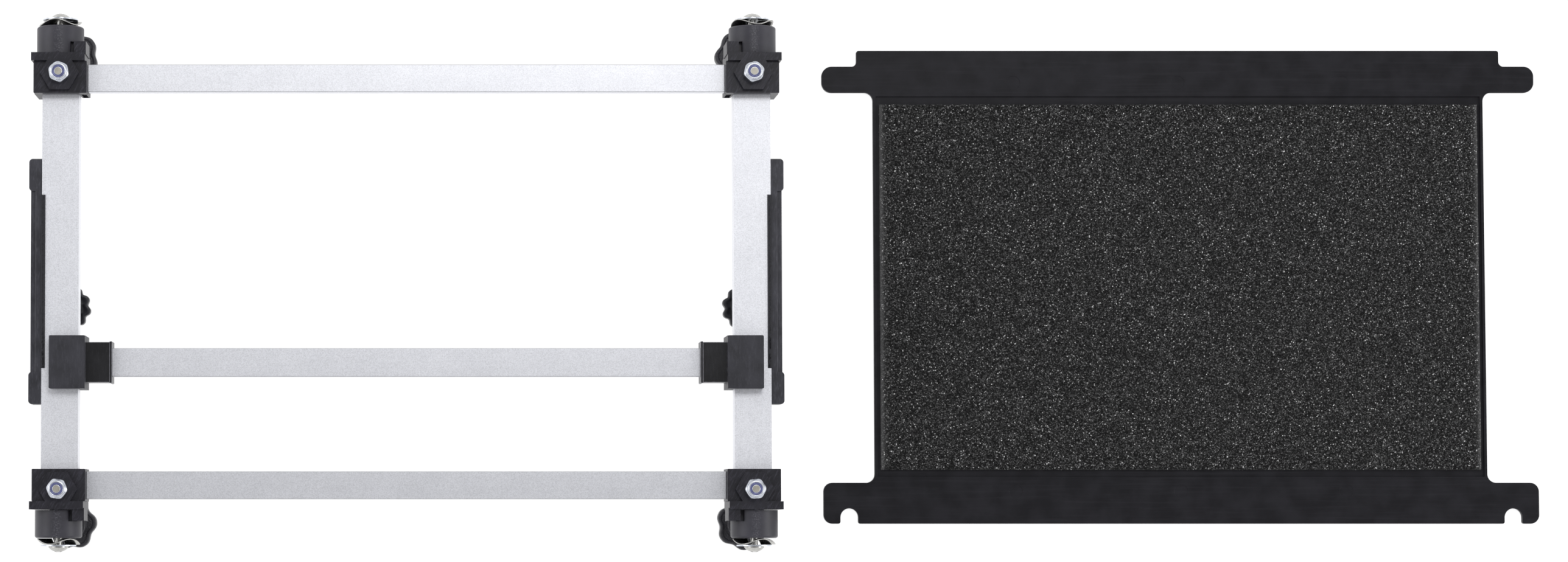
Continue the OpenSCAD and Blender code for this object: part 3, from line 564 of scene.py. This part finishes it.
# The skin at a rim, from the base up: millimetres in from the edge, and share of the height
FOAM_RIM = ((0.0, 0.0), (0.0, 0.35), (0.0, 0.7), (0.15, 0.88), (0.6, 0.97))
FOAM_INNER = 1.6        # millimetres from the rim to the even part of the grid
CRUMB = 1.1             # millimetres
WANDER = 9              # millimetres
CUT_SIDE = 0.9          # height share below which the skin is a cut side


def foam_rows(start, end, step):
    """Grid lines from one face to the other, crowded at both rims, and each line's height share."""
    inner = np.linspace(start + FOAM_INNER * MM, end - FOAM_INNER * MM, max(2, int((end - start) / step)))
    inset = [i * MM for i, _ in FOAM_RIM]
    share = [h for _, h in FOAM_RIM]
    place = np.concatenate([[start + i for i in inset], inner, [end - i for i in reversed(inset)]])
    return place, np.concatenate([share, np.ones(len(inner)), share[::-1]])


def crumble(points, share, centre, ruffle, seed):
    """Moves the skin up and down by crumbs, and the cut sides inwards."""
    for i, p in enumerate(points):
        if share[i] == 0:
            continue
        seeded = Vector(p) / (CRUMB * MM) + Vector((seed, 0, 0))
        crumb = noise.voronoi(seeded, distance_metric="DISTANCE")[0][0] - 0.5
        wander = noise.noise(Vector(p) / (WANDER * MM))
        points[i, 2] += ruffle * (0.7 * crumb + 0.3 * wander)
        if share[i] < CUT_SIDE:
            inward = np.sign(centre[:2] - p[:2])
            points[i, :2] += inward * ruffle * (0.5 + 0.7 * crumb + 0.4 * wander)


def grid_faces(nx, ny):
    """The faces of a grid numbered along Y first, and one face that closes it underneath."""
    faces = [(i * ny + j, (i + 1) * ny + j, (i + 1) * ny + j + 1, i * ny + j + 1)
             for i in range(nx - 1) for j in range(ny - 1)]
    border = ([i * ny for i in range(nx)] + [(nx - 1) * ny + j for j in range(1, ny)]
              + [i * ny + ny - 1 for i in range(nx - 2, -1, -1)] + [j for j in range(ny - 2, 0, -1)])
    faces.append(tuple(reversed(border)))
    return faces


def foam_block(name, node, step, ruffle, material, body, seed):
    """A block of foam with a crumbly skin: a fine grid whose rim folds down to the base."""
    low, high = (np.array(v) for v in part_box(node))
    high = high - np.array([0, 0, ruffle])
    xs, x_share = foam_rows(low[0], high[0], step)
    ys, y_share = foam_rows(low[1], high[1], step)
    x, y = np.meshgrid(xs, ys, indexing="ij")
    share = np.minimum(x_share[:, None], y_share[None, :])
    z = low[2] + (high[2] - low[2]) * share
    points = np.stack([x, y, z], -1).reshape(-1, 3)
    crumble(points, share.reshape(-1), (low + high) / 2, ruffle, seed)
    return make_piece(name, points, grid_faces(len(xs), len(ys)), material, body, [node])


# ---- floor, lights, camera ----

SKY = ((0.0, 0.62), (0.35, 0.85), (0.65, 0.95), (0.88, 0.48), (1.0, 0.25))    # from below to overhead
SKY_BLUE = 1.02
LIGHTS = (
    # name, place, size in metres, watts
    ("left_box", (-2.4, 0.3, 1.3), 1.5, 12),
    ("right_box", (2.6, -0.3, 1.3), 1.5, 22),
    ("key_box", (frame_x + 0.4, frame_y + 1.3, 2.9), 1.0, 22),
)


def glowing_floor():
    n = Nodes("floor_paint", roughness=0.9)
    n.colour(n.ramp(n.noise(3, detail=1), [(0.3, 0.30), (0.7, 0.33)]))
    n.shader.inputs["Emission Color"].default_value = (1.0, 1.0, 1.0, 1)
    n.shader.inputs["Emission Strength"].default_value = 0.86
    bpy.ops.mesh.primitive_plane_add(size=60, location=(0, 0, -0.0005))
    floor = bpy.context.object
    floor.name = "floor"
    floor.data.materials.append(n.material)


def surround():
    """A world that is bright at mid height and dim overhead."""
    world = bpy.data.worlds.new("studio")
    world.use_nodes = True
    nodes, links = world.node_tree.nodes, world.node_tree.links
    place = nodes.new("ShaderNodeTexCoord")
    split = nodes.new("ShaderNodeSeparateXYZ")
    ramp = nodes.new("ShaderNodeValToRGB")
    links.new(place.outputs["Generated"], split.inputs[0])
    links.new(split.outputs["Z"], ramp.inputs["Fac"])
    links.new(ramp.outputs["Color"], nodes["Background"].inputs["Color"])
    fill_ramp(ramp.color_ramp, [(height, (grey, grey, grey * SKY_BLUE)) for height, grey in SKY])
    bpy.context.scene.world = world


def soft_boxes():
    for name, place, size, power in LIGHTS:
        light = bpy.data.lights.new(name, "AREA")
        light.size = size
        light.energy = power
        lamp = bpy.data.objects.new(name, light)
        lamp.location = place
        lamp.rotation_euler = (Vector((0, 0, 0)) - Vector(place)).to_track_quat("-Z", "Y").to_euler()
        lamp.visible_camera = False
        bpy.context.scene.collection.objects.link(lamp)


def camera():
    """Looks down from in front of the frame's middle, shifted so that the board shows beside it."""
    nut_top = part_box("corner_nuts")[1].z
    data = bpy.data.cameras.new("camera")
    data.lens = 77.987
    data.shift_x = 0.2367
    data.shift_y = 0.07
    cam = bpy.data.objects.new("camera", data)
    cam.location = (frame_x + 0.0044, frame_y - 0.1702, nut_top + 2.2809)
    cam.rotation_euler = (math.radians(2.386), 0, 0)
    data.clip_end = 50
    bpy.context.scene.collection.objects.link(cam)
    bpy.context.scene.camera = cam
    bpy.context.scene.view_settings.view_transform = "Standard"


dress_all()
for corner in CORNERS:
    star_knob(corner)
for side in SIDES:
    clamp_knob(side)
wave_washers()
lock_nuts()
pad = foam_block("foam_sheet", "foam_pad", 1.25 * MM, 0.6 * MM, "foam", "board", 0)
for seed, side in enumerate(SIDES, 1):
    foam_block("grip_strip_detail_" + side, "grip_strip_" + side, 0.8 * MM, 0.35 * MM, "strip_foam", "frame",
               seed)
glowing_floor()
surround()
soft_boxes()
camera()
